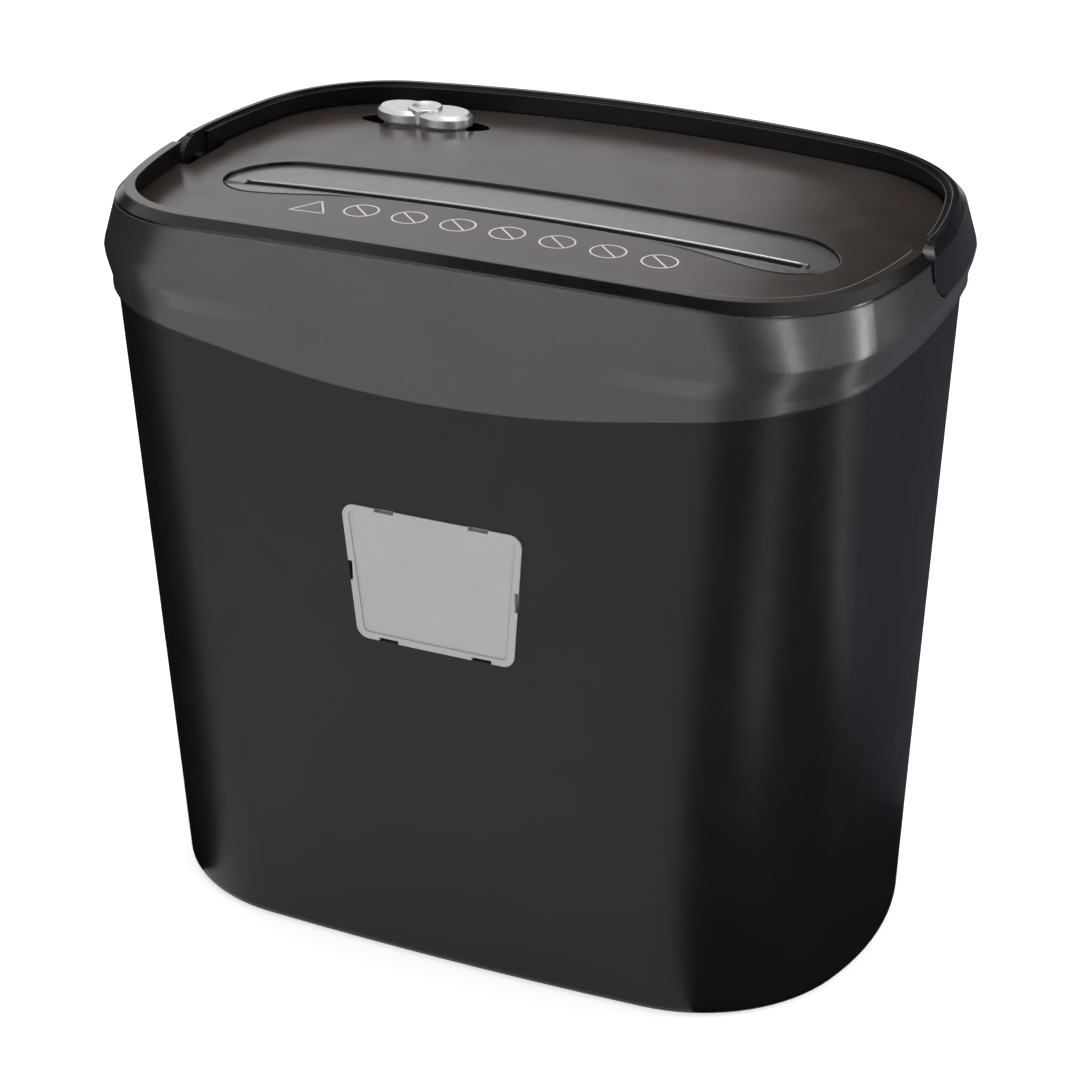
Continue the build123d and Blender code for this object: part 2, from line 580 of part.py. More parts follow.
@lru_cache
def bezel_prism(grow):
    """Plan of the silver bezel: round ends, and a front edge that bows in to the slot."""
    half, back, front = BEZEL_HALF + grow, BEZEL_BACK + grow, BEZEL_FRONT - grow
    lip = SLOT_FRONT - BEZEL_LIP - grow
    end = (back + front) / 2
    swell = BEZEL_HALF - BEZEL_SWELL
    lines = [
        ThreePointArc((-swell - 8, back - 0.4, 0), (0, back, 0), (swell + 8, back - 0.4, 0)),
        TangentArc([(swell + 8, back - 0.4, 0), (half, end, 0)], tangent=(1, -0.01, 0)),
        ThreePointArc((half, end, 0), (half - 6, front + 5.5, 0), (swell + 12, front, 0)),
        Spline([(swell + 12, front, 0), (swell - 16, (front + 2 * lip) / 3 - 0.4, 0),
                (swell - 44, lip - 0.1, 0), (0, lip, 0), (44 - swell, lip - 0.1, 0),
                (16 - swell, (front + 2 * lip) / 3 - 0.4, 0), (-swell - 12, front, 0)],
               tangents=[(-1, 0.02, 0), (-1, -0.02, 0)]),
        ThreePointArc((-swell - 12, front, 0), (6 - half, front + 5.5, 0), (-half, end, 0)),
        TangentArc([(-swell - 8, back - 0.4, 0), (-half, end, 0)], tangent=(-1, -0.01, 0)),
    ]
    face = make_face(lines)
    return Pos(0, 0, HEAD_HEIGHT - 40) * extrude(face, amount=80)


def make_bezel():
    """Silver bezel: sunk behind the slot, with a bead along it and a lip that slopes up in front."""
    body = bezel_prism(0) & crown_band(PANEL_DEPTH - BEZEL_PROUD, PANEL_DEPTH + BEZEL_THICK)
    depth = PANEL_DEPTH + BEZEL_SINK
    sunk = under_crown(depth)
    slope = atan2(BEZEL_SINK + BEZEL_PROUD, SLOT_GAP + LIP_RUN) * 180 / pi
    hinge = Pos(0, SLOT_BACK, HEAD_HEIGHT - depth)
    lip = hinge * Rot(-slope, 0, 0) * hinge.inverse() * sunk
    bead = box(-SLOT_HALF - BEAD_WIDTH, SLOT_HALF + BEAD_WIDTH, SLOT_FRONT, SLOT_BACK + BEAD_WIDTH,
               CUTTER_Z, BIG)
    bead = bead & crown_band(depth - BEAD_HEIGHT, depth + BEAD_HEIGHT)
    slot = box(-SLOT_HALF, SLOT_HALF, SLOT_FRONT, SLOT_BACK, CUTTER_Z, BIG)
    return (body & (sunk + lip)) + bead - slot


def make_chute():
    top = under_crown(PANEL_DEPTH + BEZEL_THICK)
    half = SLOT_GAP / 2 + CHUTE_WALL
    body = box(-PLATE_FACE + CLEAR, PLATE_FACE - CLEAR, SLOT_Y - half, SLOT_Y + half, CHUTE_FOOT, BIG) & top
    gap = box(-SLOT_HALF, SLOT_HALF, SLOT_FRONT, SLOT_BACK, CUTTER_Z, BIG)
    return body - gap


def make_handle():
    outer = crowned_head()
    handle = outer - head_form(HANDLE_THICK)
    handle = handle & box(-BIG, BIG, HUB_Y + 8, BIG, HANDLE_FOOT, BIG)
    for side in (1, -1):
        disc = bar_x(HUB_FACE, BIG / 2, HUB_Y, HUB_Z, HUB_RADIUS)
        bridge = box(HUB_FACE, BIG / 2, HUB_Y, HUB_Y + 9, HANDLE_FOOT, HEAD_HEIGHT)
        bore = bar_x(HUB_FACE - 1, HUB_FACE + PIVOT_DEPTH + 0.5, HUB_Y, HUB_Z, PIVOT_RADIUS + RUNNING)
        if side < 0:
            disc, bridge, bore = [mirror(s, about=Plane.YZ) for s in (disc, bridge, bore)]
        handle = handle + ((disc + bridge) & outer) - bore
    step = head_form(HANDLE_THICK - HANDLE_STEP) & box(-BIG, BIG, HUB_Y + 8, BIG, HUB_Z, BIG)
    return handle - (step - under_crown(HANDLE_STEP_DROP))


def make_pivots():
    start = HUB_FACE - HANDLE_GAP - HUB_PAD
    return Compound(children=both_sides(bar_x(start, HUB_FACE + PIVOT_DEPTH, HUB_Y, HUB_Z, PIVOT_RADIUS)))


# ---------------------------------------------------------------- head base
def vent_slots(x0, x1, y0, y1, count):
    """A row of slots through the tray floor, below the motor."""
    step = (x1 - x0) / (count - 1)
    slots = []
    for i in range(count):
        x = x0 + i * step
        slots.append(box(x - 1.5, x + 1.5, y0, y1, TRAY_FLOOR_Z - 1, FLOOR_TOP + 1))
    return slots


def make_base():
    """Moulded tray that plugs into the bin's mouth and carries the cutting unit."""
    inset = BIN_WALL + TRAY_GAP
    flange = head_form(HEAD_WALL + CLEAR) & box(-BIG, BIG, -BIG, BIG, TRAY_TOP, FLANGE_TOP)
    tray = bin_form(inset, TRAY_FLOOR_Z, FLANGE_TOP) + flange
    tray = tray - bin_form(inset + TRAY_WALL, FLOOR_TOP, FLANGE_TOP + 1)
    tray = tray - box(-SLOT_HALF, SLOT_HALF, FRONT_CUTTER_Y - THROAT, REAR_CUTTER_Y + THROAT,
                      TRAY_FLOOR_Z - 1, FLOOR_TOP + 1)
    for slot in vent_slots(MOTOR_X0 + 6, MOTOR_X1 - 12, MOTOR_Y - 16, MOTOR_Y + 12, VENT_COUNT):
        tray = tray - slot
    for x, y in corner_bosses():
        tray = tray - bar_z(x, y, TRAY_FLOOR_Z - 1, FLOOR_TOP + 1, SCREW_RADIUS + 0.4)
    tray = tray - bar_z(-INTERLOCK_X, INTERLOCK_Y, MOUTH_TOP, FLANGE_TOP + 1, PLUNGER_RADIUS + 0.5)
    return tray - gland_bar(GLAND_RADIUS + 2.2)


# ---------------------------------------------------------------- gears
def involute(angle):
    return tan(angle) - angle


def gear(module, teeth, phase, y, z, x0, x1, bore):
    """A spur gear about an axis along X, one tooth centred at the angle phase."""
    pressure = radians(20)
    pitch = module * teeth / 2
    base = pitch * cos(pressure)
    root = pitch - ROOT_FACTOR * module
    tip = pitch + TIP_FACTOR * module
    half_pitch_angle = pi / (2 * teeth) - BACKLASH / (2 * pitch)

    def half_angle(radius):
        meet = acos(min(1.0, base / radius))
        return half_pitch_angle + involute(pressure) - involute(meet)

    low = max(root, base)
    flank = [(root, half_angle(low) * UNDERCUT)] if root < low else []
    flank = flank + [(low, half_angle(low)), (tip, half_angle(tip))]
    points = []
    for k in range(teeth):
        middle = phase + 2 * pi * k / teeth
        tooth = [(radius, -reach) for radius, reach in flank]
        tooth = tooth + [(radius, reach) for radius, reach in flank[::-1]]
        points.extend((radius * cos(middle + reach), radius * sin(middle + reach)) for radius, reach in tooth)
    plane = Plane((x0, y, z), x_dir=(0, 1, 0), z_dir=(1, 0, 0))
    face = plane * make_face(Polyline(*points, close=True))
    body = extrude(face, x1 - x0)
    if bore:
        body = body - bar_x(x0 - 1, x1 + 1, y, z, bore)
    return body


def meshed_phase(phase, teeth, other_teeth, direction):
    """Phase of a gear whose gap meets a tooth of its neighbour along direction."""
    return direction + pi - (phase - direction) * teeth / other_teeth + pi / other_teeth


def bearing(origin, target):
    """Direction from one axis to another, as an angle from +Y towards +Z."""
    return atan2(target[1] - origin[1], target[0] - origin[0])


def reach_back(origin, distance, z):
    """Axis behind origin at a given centre distance and height."""
    return (origin[0] + sqrt(distance**2 - (z - origin[1])**2), z)


OUTPUT_AXIS = (REAR_CUTTER_Y, CUTTER_Z)
SECOND_AXIS = reach_back(OUTPUT_AXIS, MODULE_3 * (PINION_3 + WHEEL_3) / 2, CUTTER_Z - SECOND_DROP)
FIRST_AXIS = reach_back(SECOND_AXIS, MODULE_2 * (PINION_2 + WHEEL_2) / 2, CUTTER_Z + FIRST_LIFT)
MOTOR_AXIS = reach_back(FIRST_AXIS, MODULE_1 * (PINION_1 + WHEEL_1) / 2, CUTTER_Z - MOTOR_DROP)
MOTOR_Y, MOTOR_Z = MOTOR_AXIS
LAYER_1 = PLATE_OUTER + 2.0
LAYER_2 = LAYER_1 + GEAR_LAYER
LAYER_3 = LAYER_2 + GEAR_LAYER
GEAR_END = LAYER_3 + GEAR_LAYER
TIMING_X0 = PLATE_OUTER + 2.5
TIMING_X1 = TIMING_X0 + 8.0

PHASE_OUTPUT = 0.0
PHASE_PINION_3 = meshed_phase(PHASE_OUTPUT, WHEEL_3, PINION_3, bearing(OUTPUT_AXIS, SECOND_AXIS))
PHASE_WHEEL_2 = 0.0
PHASE_PINION_2 = meshed_phase(PHASE_WHEEL_2, WHEEL_2, PINION_2, bearing(SECOND_AXIS, FIRST_AXIS))
PHASE_WHEEL_1 = 0.0
PHASE_PINION_1 = meshed_phase(PHASE_WHEEL_1, WHEEL_1, PINION_1, bearing(FIRST_AXIS, MOTOR_AXIS))
TIMING_PHASE = meshed_phase(0.0, TIMING_TEETH, TIMING_TEETH, pi)


def make_gears():
    oy, oz = OUTPUT_AXIS
    keep("drive_gear", gear(MODULE_3, WHEEL_3, PHASE_OUTPUT, oy, oz, LAYER_3, GEAR_END, JOURNAL_RADIUS))
    keep("rear_timing_gear", gear(TIMING_MODULE, TIMING_TEETH, 0.0, oy, oz, -TIMING_X1, -TIMING_X0,
                                  JOURNAL_RADIUS))
    keep("front_timing_gear", gear(TIMING_MODULE, TIMING_TEETH, TIMING_PHASE, FRONT_CUTTER_Y, CUTTER_Z,
                                   -TIMING_X1, -TIMING_X0, JOURNAL_RADIUS))
    bore = STUD_RADIUS + RUNNING
    y, z = SECOND_AXIS
    second = gear(MODULE_2, WHEEL_2, PHASE_WHEEL_2, y, z, LAYER_2, LAYER_3 - FACE_STEP, 0)
    second = second + gear(MODULE_3, PINION_3, PHASE_PINION_3, y, z, LAYER_3 - FACE_STEP, GEAR_END, 0)
    keep("second_reduction_gear", second - bar_x(LAYER_2 - 1, GEAR_END + 1, y, z, bore))
    y, z = FIRST_AXIS
    first = gear(MODULE_1, WHEEL_1, PHASE_WHEEL_1, y, z, LAYER_1, LAYER_2 - FACE_STEP, 0)
    first = first + gear(MODULE_2, PINION_2, PHASE_PINION_2, y, z, LAYER_2 - FACE_STEP,
                         LAYER_3 - FACE_STEP, 0)
    bore_1 = FIRST_STUD_RADIUS + RUNNING
    keep("first_reduction_gear", first - bar_x(LAYER_1 - 1, LAYER_3 + 1, y, z, bore_1))
    keep("motor_pinion", gear(MODULE_1, PINION_1, PHASE_PINION_1, MOTOR_Y, MOTOR_Z, LAYER_1,
                              LAYER_2 - FACE_STEP, MOTOR_TIP_RADIUS))


def make_studs():
    """Two shouldered studs riveted in the gear-side plate."""
    studs = []
    for (y, z), radius, first_layer, end in (
            (FIRST_AXIS, FIRST_STUD_RADIUS, LAYER_1, LAYER_3 - FACE_STEP),
            (SECOND_AXIS, STUD_RADIUS, LAYER_2, GEAR_END)):
        stud = bar_x(PLATE_FACE, end + CLEAR + CLIP_THICK + STUD_TIP, y, z, radius)
        stud = stud + bar_x(PLATE_FACE, first_layer - 0.3, y, z, radius + STUD_SHOULDER)
        studs.append(stud)
    return Compound(children=studs)


def clip(x0, y, z, radius):
    """A retaining clip on a shaft."""
    ring = bar_x(x0, x0 + CLIP_THICK, y, z, radius + CLIP_REACH) - bar_x(x0 - 1, x0 + 2, y, z, radius)
    return ring - box(x0 - 1, x0 + 2, y - 1.6, y + 1.6, z - 20, z)


def make_stud_clips():
    return Compound(children=[
        clip(LAYER_3 - FACE_STEP + CLEAR, *FIRST_AXIS, FIRST_STUD_RADIUS),
        clip(GEAR_END + CLEAR, *SECOND_AXIS, STUD_RADIUS)])


# ---------------------------------------------------------------- cutting unit
def disc_profile(phase, y, x0):
    """One cutting disc: hooked teeth round a root circle."""
    points = []
    step = 2 * pi / DISC_TEETH
    for k in range(DISC_TEETH):
        angle = phase + k * step
        for share, radius in ((0.0, CUTTER_RADIUS), (0.3, CUTTER_RADIUS - 0.5), (0.62, CUTTER_RADIUS - 0.9),
                              (0.86, CUTTER_ROOT)):
            points.append((radius * cos(angle + share * step), radius * sin(angle + share * step)))
    plane = Plane((x0, y, CUTTER_Z), x_dir=(0, 1, 0), z_dir=(1, 0, 0))
    return extrude(plane * make_face(Polyline(*points, close=True)), DISC_THICK)


def disc_starts(rear):
    """Left faces of the discs: the rear set lies half a pitch to the right."""
    first = -DISC_PITCH * DISC_COUNT / 2 + (DISC_PITCH / 2 if rear else 0) + CLEAR / 2
    return [first + i * DISC_PITCH for i in range(DISC_COUNT)]


def make_cutter(y, rear):
    half = PLATE_FACE - 0.5
    body = bar_x(-half, half, y, CUTTER_Z, CORE_RADIUS)
    right_end = GEAR_END + 2.5 if rear else PLATE_OUTER + 5.5
    body = body + bar_x(-TIMING_X1 - 2.5, right_end, y, CUTTER_Z, JOURNAL_RADIUS)
    turn = 1 if rear else -1
    discs = [disc_profile(turn * radians(DISC_TWIST) * i, y, x0) for i, x0 in enumerate(disc_starts(rear))]
    return body.fuse(*discs)


def shaft_clips(y, right):
    return Compound(children=[clip(-TIMING_X1 - 0.3 - CLIP_THICK, y, CUTTER_Z, JOURNAL_RADIUS),
                              clip(right, y, CUTTER_Z, JOURNAL_RADIUS)])


def make_comb(y, rear):
    """Stripper comb: a plate with a finger between every two discs of one cutter."""
    out = 1 if rear else -1
    near = y + out * (CORE_RADIUS + COMB_GAP)
    face = y + out * (CUTTER_RADIUS + 1.2)
    back = face + out * COMB_PLATE
    comb = box(-PLATE_FACE + CLEAR, PLATE_FACE - CLEAR, min(face, back), max(face, back),
               CUTTER_Z - COMB_DROP, CUTTER_Z + COMB_LIFT)
    half = FINGER_WIDTH / 2
    fingers = []
    for x0 in disc_starts(rear)[:-1]:
        middle = x0 + DISC_THICK + (DISC_PITCH - DISC_THICK) / 2
        finger = box(middle - half, middle + half, min(y, face), max(y, face),
                     CUTTER_Z - COMB_DROP + FINGER_SETBACK, CUTTER_Z + COMB_LIFT - FINGER_SETBACK)
        fingers.append(finger)
    comb = comb.fuse(*fingers)
    return comb - through_x(y, CUTTER_Z, CORE_RADIUS + COMB_GAP)


ROD_PLACES = [(y, z) for y in (FRONT_CUTTER_Y - ROD_OFFSET, REAR_CUTTER_Y + ROD_OFFSET)
              for z in (CUTTER_Z - ROD_DROP, CUTTER_Z + ROD_LIFT)]


def make_plate(right):
    """Steel side plate that stands on the tray; the right one also carries motor and studs."""
    back = MOTOR_Y + MOTOR_CORE / 2 - 2 if right else REAR_CUTTER_Y + PLATE_END
    front = FRONT_CUTTER_Y - PLATE_END
    top = CUTTER_Z + PLATE_LIFT
    face = make_face(Polyline((front, FLOOR_TOP), (back, FLOOR_TOP), (back, top), (front, top),
                              close=True))
    face = face.face()
    face = face.fillet_2d(12 if right else 5, face.vertices().sort_by(Axis.Y)[-2:])
    plane = Plane((PLATE_FACE, 0, 0), x_dir=(0, 1, 0), z_dir=(1, 0, 0))
    plate = extrude(plane * face, PLATE_THICK)
    for y in (FRONT_CUTTER_Y, REAR_CUTTER_Y):
        plate = plate - through_x(y, CUTTER_Z, BUSH_RADIUS + 0.01)
    for y, z in ROD_PLACES:
        plate = plate - through_x(y, z, ROD_RADIUS - 0.8)
    if right:
        plate = plate - through_x(*FIRST_AXIS, FIRST_STUD_RADIUS + STUD_SHOULDER + 0.01)
        plate = plate - through_x(*SECOND_AXIS, STUD_RADIUS + STUD_SHOULDER + 0.01)
        plate = plate - through_x(*MOTOR_AXIS, SPIGOT_RADIUS + 0.01)
        for y, z in MOTOR_SCREWS:
            plate = plate - through_x(y, z, SCREW_RADIUS + 0.3)
    for y in (front + 1, REAR_CUTTER_Y + ROD_OFFSET - 3):
        plate = plate + box(PLATE_FACE - FOOT_REACH, PLATE_FACE + 0.5, y, y + 7, FLOOR_TOP, FLOOR_TOP + 2)
    return plate if right else mirror(plate, about=Plane.YZ)


def make_rods():
    return Compound(children=[bar_x(-PLATE_FACE, PLATE_FACE, y, z, ROD_RADIUS) for y, z in ROD_PLACES])


def screw(x, y, z, axis_x, length):
    """A pan-head screw along X, its head at x and its thread running back by length."""
    head = bar_x(x, x + 1.5, y, z, 3.2) if axis_x > 0 else bar_x(x - 1.5, x, y, z, 3.2)
    shank = bar_x(x - length, x, y, z, SCREW_RADIUS - 0.1) if axis_x > 0 else bar_x(
        x, x + length, y, z, SCREW_RADIUS - 0.1)
    return head + shank


def make_plate_screws():
    screws = []
    for y, z in ROD_PLACES:
        for side in (1, -1):
            screws.append(screw(side * PLATE_OUTER, y, z, side, PLATE_THICK))
    return Compound(children=screws)


def make_bushes():
    bushes = []
    for y in (FRONT_CUTTER_Y, REAR_CUTTER_Y):
        bush = bar_x(PLATE_FACE, PLATE_OUTER, y, CUTTER_Z, BUSH_RADIUS)
        bush = bush + bar_x(PLATE_OUTER, PLATE_OUTER + 1.5, y, CUTTER_Z, BUSH_FLANGE)
        bush = bush - through_x(y, CUTTER_Z, JOURNAL_RADIUS + RUNNING)
        bushes.extend(both_sides(bush))
    return Compound(children=bushes)


def make_cover_screws():
    screws = []
    for x, y in corner_bosses():
        screws.append(bar_z(x, y, TRAY_FLOOR_Z - 2, TRAY_FLOOR_Z, 3.4)
                      + bar_z(x, y, TRAY_FLOOR_Z - 1, FLOOR_TOP + 13, SCREW_RADIUS - 0.05))
    return Compound(children=screws)


# ---------------------------------------------------------------- motor
MOTOR_X1 = PLATE_FACE - 0.02
MOTOR_X0 = MOTOR_X1 - MOTOR_LENGTH
STACK_X0 = MOTOR_X0 + 26.0
STACK_X1 = STACK_X0 + MOTOR_STACK
COMMUTATOR_X0 = MOTOR_X0 + BRACKET + 6.0
FAN_X1 = MOTOR_X1 - BRACKET - 2.0
MOTOR_SCREWS = [(MOTOR_Y - MOTOR_BOLT, MOTOR_Z - MOTOR_BOLT), (MOTOR_Y + MOTOR_BOLT, MOTOR_Z - MOTOR_BOLT)]


def square_x(x0, x1, half_y, half_z, corner):
    """A rounded block about the motor's axis."""
    plane = Plane((x0, MOTOR_Y, MOTOR_Z), x_dir=(0, 1, 0), z_dir=(1, 0, 0))
    return extrude(plane * RectangleRounded(2 * half_y, 2 * half_z, corner), x1 - x0)


def make_motor():
    half = MOTOR_CORE / 2
    core = square_x(STACK_X0, STACK_X1, half, half, 8)
    keep("motor_field_core", core - through_x(MOTOR_Y, MOTOR_Z, ARMATURE_RADIUS + 0.5)
         - square_x(0, BIG, half - 4, 7.5, 1))
    coils = []
    for side in (-1, 1):
        y0, y1 = sorted((MOTOR_Y + side * (ARMATURE_RADIUS + 1.0), MOTOR_Y + side * (half - 4.3)))
        coil = box(STACK_X0 - 5, STACK_X1 + 5, y0, y1, MOTOR_Z - 6, MOTOR_Z + 6)
        coils.append(fillet(coil.edges().filter_by(Axis.Z), 1.5))
    keep("motor_coils", Compound(children=coils))
    drive = square_x(MOTOR_X1 - BRACKET, MOTOR_X1, half - 1, half - 2, 8)
    drive = drive + bar_x(MOTOR_X1 - 1, PLATE_OUTER, MOTOR_Y, MOTOR_Z, SPIGOT_RADIUS)
    legs = square_x(STACK_X1, MOTOR_X1 - BRACKET, half - 1, half - 2, 8)
    window = square_x(STACK_X1 - 1, MOTOR_X1, half - 3.5, half, 2)
    drive = drive + (legs - window)
    drive = drive - through_x(MOTOR_Y, MOTOR_Z, MOTOR_SHAFT_RADIUS + RUNNING)
    for y, z in MOTOR_SCREWS:
        drive = drive - through_x(y, z, SCREW_RADIUS)
    keep("motor_drive_bracket", drive)
    brush = square_x(MOTOR_X0, MOTOR_X0 + BRACKET, half - 1, 9, 4)
    legs = square_x(MOTOR_X0 + BRACKET, STACK_X0, half - 1, 9, 4)
    window = square_x(MOTOR_X0, STACK_X0 + 1, half - 3.5, half, 2)
    brush = brush + (legs - window)
    brush = brush - through_x(MOTOR_Y, MOTOR_Z, MOTOR_SHAFT_RADIUS + RUNNING)
    keep("motor_brush_bracket", brush)
    holders = []
    for side in (-1, 1):
        y0, y1 = sorted((MOTOR_Y + side * (COMMUTATOR_RADIUS + 0.4), MOTOR_Y + side * (half - 3.5)))
        holders.append(box(COMMUTATOR_X0 + 1, COMMUTATOR_X0 + 7, y0, y1, MOTOR_Z - 3, MOTOR_Z + 3))
    keep("motor_brushes", Compound(children=holders))


def make_rotor():
    shaft = bar_x(MOTOR_X0 - 4, PLATE_OUTER + 0.5, MOTOR_Y, MOTOR_Z, MOTOR_SHAFT_RADIUS)
    shaft = shaft + bar_x(PLATE_OUTER, LAYER_2 - FACE_STEP, MOTOR_Y, MOTOR_Z, MOTOR_TIP_RADIUS)
    keep("motor_shaft", shaft)
    stack = bar_x(STACK_X0, STACK_X1, MOTOR_Y, MOTOR_Z, ARMATURE_RADIUS)
    slots = []
    for k in range(ARMATURE_SLOTS):
        angle = 2 * pi * k / ARMATURE_SLOTS
        y = MOTOR_Y + (ARMATURE_RADIUS - 2) * cos(angle)
        z = MOTOR_Z + (ARMATURE_RADIUS - 2) * sin(angle)
        slots.append(bar_x(STACK_X0 - 1, STACK_X1 + 1, y, z, 1.6))
    stack = stack.cut(*slots)
    keep("armature", stack - through_x(MOTOR_Y, MOTOR_Z, MOTOR_SHAFT_RADIUS))
    commutator = bar_x(COMMUTATOR_X0, COMMUTATOR_X0 + 9, MOTOR_Y, MOTOR_Z, COMMUTATOR_RADIUS)
    keep("commutator", commutator - through_x(MOTOR_Y, MOTOR_Z, MOTOR_SHAFT_RADIUS))
    fan = bar_x(FAN_X1 - 1.5, FAN_X1, MOTOR_Y, MOTOR_Z, FAN_RADIUS)
    blades = [bar_x(FAN_X1 - 7, FAN_X1 - 1, MOTOR_Y, MOTOR_Z, 5.5)]
    for k in range(FAN_BLADES):
        blade = box(FAN_X1 - 7, FAN_X1 - 1, 5, FAN_RADIUS - 0.5, -0.6, 0.6)
        blades.append(Pos(0, MOTOR_Y, MOTOR_Z) * Rot(360 * k / FAN_BLADES, 0, 0) * blade)
    fan = fan.fuse(*blades)
    keep("cooling_fan", fan - through_x(MOTOR_Y, MOTOR_Z, MOTOR_SHAFT_RADIUS))


def make_motor_screws():
    return Compound(children=[screw(PLATE_OUTER, y, z, 1, 8) for y, z in MOTOR_SCREWS])


# ---------------------------------------------------------------- switches and board
def make_board():
    """Control board on four stand-offs, with its relay and terminal block."""
    board = box(BOARD_X0, BOARD_X1, BOARD_Y0, BOARD_Y1, BOARD_Z, BOARD_Z + BOARD_THICK)
    posts = []
    for x in (BOARD_X0 + 4, BOARD_X1 - 4):
        for y in (BOARD_Y0 + 4, BOARD_Y1 - 4):
            posts.append(bar_z(x, y, FLOOR_TOP, BOARD_Z, 3.0))
    keep("control_board", board)
    keep("board_stand_offs", Compound(children=posts))
    top = BOARD_Z + BOARD_THICK
    keep("relay", box(BOARD_X0 + 8, BOARD_X0 + 27, BOARD_Y0 + 6, BOARD_Y0 + 21, top, top + 15))
    capacitor = box(BOARD_X1 - 30, BOARD_X1 - 12, BOARD_Y0 + 8, BOARD_Y0 + 17, top, top + 14)
    keep("suppression_capacitor", fillet(capacitor.edges().filter_by(Axis.Z), 1.5))
    block = box(BOARD_X1 - 26, BOARD_X1 - 6, BOARD_Y1 - 14, BOARD_Y1 - 5, top, top + 10)
    for k in range(3):
        block = block - bar_z(BOARD_X1 - 22.7 + 6.7 * k, BOARD_Y1 - 9.5, top + 4, top + 12, 2.0)
    keep("terminal_block", block)


def panel_top(x=KNOB_X):
    """Height of the crowned panel's face at a distance from the middle."""
    sag = CROWN_RADIUS - sqrt(CROWN_RADIUS**2 - x**2)
    return HEAD_HEIGHT - sag - PANEL_DEPTH


def switch_foot():
    return panel_top() - KNOB_WELL_DEPTH - KNOB_WELL_WALL - SWITCH_HEIGHT


def make_mode_switch():
    """Slide switch under the knob well; the knob's stem drives its slider."""
    top = under_crown(PANEL_DEPTH + KNOB_WELL_DEPTH + KNOB_WELL_WALL)
    low = switch_foot()
    reach = KNOB_TRAVEL + 3.6
    body = box(KNOB_X - 17, KNOB_X + 17, KNOB_Y - 7, KNOB_Y + 7, low, BIG) & top
    slot = box(KNOB_X - reach, KNOB_X + reach, KNOB_Y - 2.3, KNOB_Y + 2.3, low + SWITCH_FLOOR, BIG)
    return body - slot


def make_knob():
    """Two-lobed slide knob with a dished finger rest, a shoe in the well and a stem below."""
    highest = panel_top(KNOB_X + KNOB_LENGTH / 2 + KNOB_TRAVEL)
    foot = highest + CLEAR
    reach = KNOB_LENGTH / 2 - KNOB_LOBE
    plan = Sketch() + [Pos(x, 0) * Ellipse(KNOB_LOBE, KNOB_WIDTH / 2) for x in (-reach, reach)]
    body = extrude(Pos(KNOB_X, KNOB_Y, foot) * plan, KNOB_HEIGHT - 1.2)
    body = chamfer(body.faces().sort_by(Axis.Z)[-1].edges(), 1.5)
    hub = bar_z(KNOB_X, KNOB_Y, foot, foot + KNOB_HEIGHT, KNOB_RING)
    hub = fillet(hub.faces().sort_by(Axis.Z)[-1].edges(), 0.7)
    ball = (KNOB_DISH**2 + KNOB_DISH_DEPTH**2) / (2 * KNOB_DISH_DEPTH)
    dish = Pos(KNOB_X, KNOB_Y, foot + KNOB_HEIGHT + ball - KNOB_DISH_DEPTH) * Sphere(ball)
    shoe_foot = highest - KNOB_WELL_DEPTH + CLEAR
    shoe_plan = SlotOverall(KNOB_LENGTH - 5, KNOB_WELL_WIDTH - 6)
    shoe = extrude(Pos(KNOB_X, KNOB_Y, shoe_foot) * shoe_plan, foot - shoe_foot + 1)
    stem = box(KNOB_X - 3, KNOB_X + 3, KNOB_Y - 1.8, KNOB_Y + 1.8,
               switch_foot() + SWITCH_FLOOR + 1.5, shoe_foot + 1)
    return (body + hub - dish) + shoe + stem


def make_feed_sensors():
    """Optical pair on the two faces of the chute, in the middle of the slot."""
    half = SLOT_GAP / 2 + CHUTE_WALL
    return Compound(children=[
        box(-5, 5, SLOT_Y + half, SLOT_Y + half + 4, CHUTE_FOOT + 2, CHUTE_FOOT + 9),
        box(-5, 5, SLOT_Y - half - 4, SLOT_Y - half, CHUTE_FOOT + 2, CHUTE_FOOT + 9)])


def make_interlock():
    base = FLANGE_TOP
    body = box(-INTERLOCK_X - INTERLOCK_OUT, -INTERLOCK_X + 3.6, INTERLOCK_Y - INTERLOCK_HALF,
               INTERLOCK_Y + INTERLOCK_HALF, base, base + INTERLOCK_HEIGHT)
    body = body - bar_z(-INTERLOCK_X, INTERLOCK_Y, base - 1, base + 6.4, PLUNGER_RADIUS + RUNNING)
    keep("interlock_switch", body)
    plunger = bar_z(-INTERLOCK_X, INTERLOCK_Y, PLUNGER_FOOT, base + 6, PLUNGER_RADIUS)
    keep("interlock_plunger", plunger)


def make_gland():
    """Cord gland in the back wall: a bush flanged inside, with the cord's hole through it."""
    barrel = gland_bar(GLAND_RADIUS - 0.05) & (head_form(0.2) - head_form(HEAD_WALL + 4.5))
    flange = gland_bar(GLAND_RADIUS + 1.6) & (head_form(HEAD_WALL + 0.05) - head_form(HEAD_WALL + 2))
    behind = box(-BIG, BIG, 0, BIG, 0, BIG)
    return ((barrel + flange) & behind) - gland_bar(GLAND_BORE)


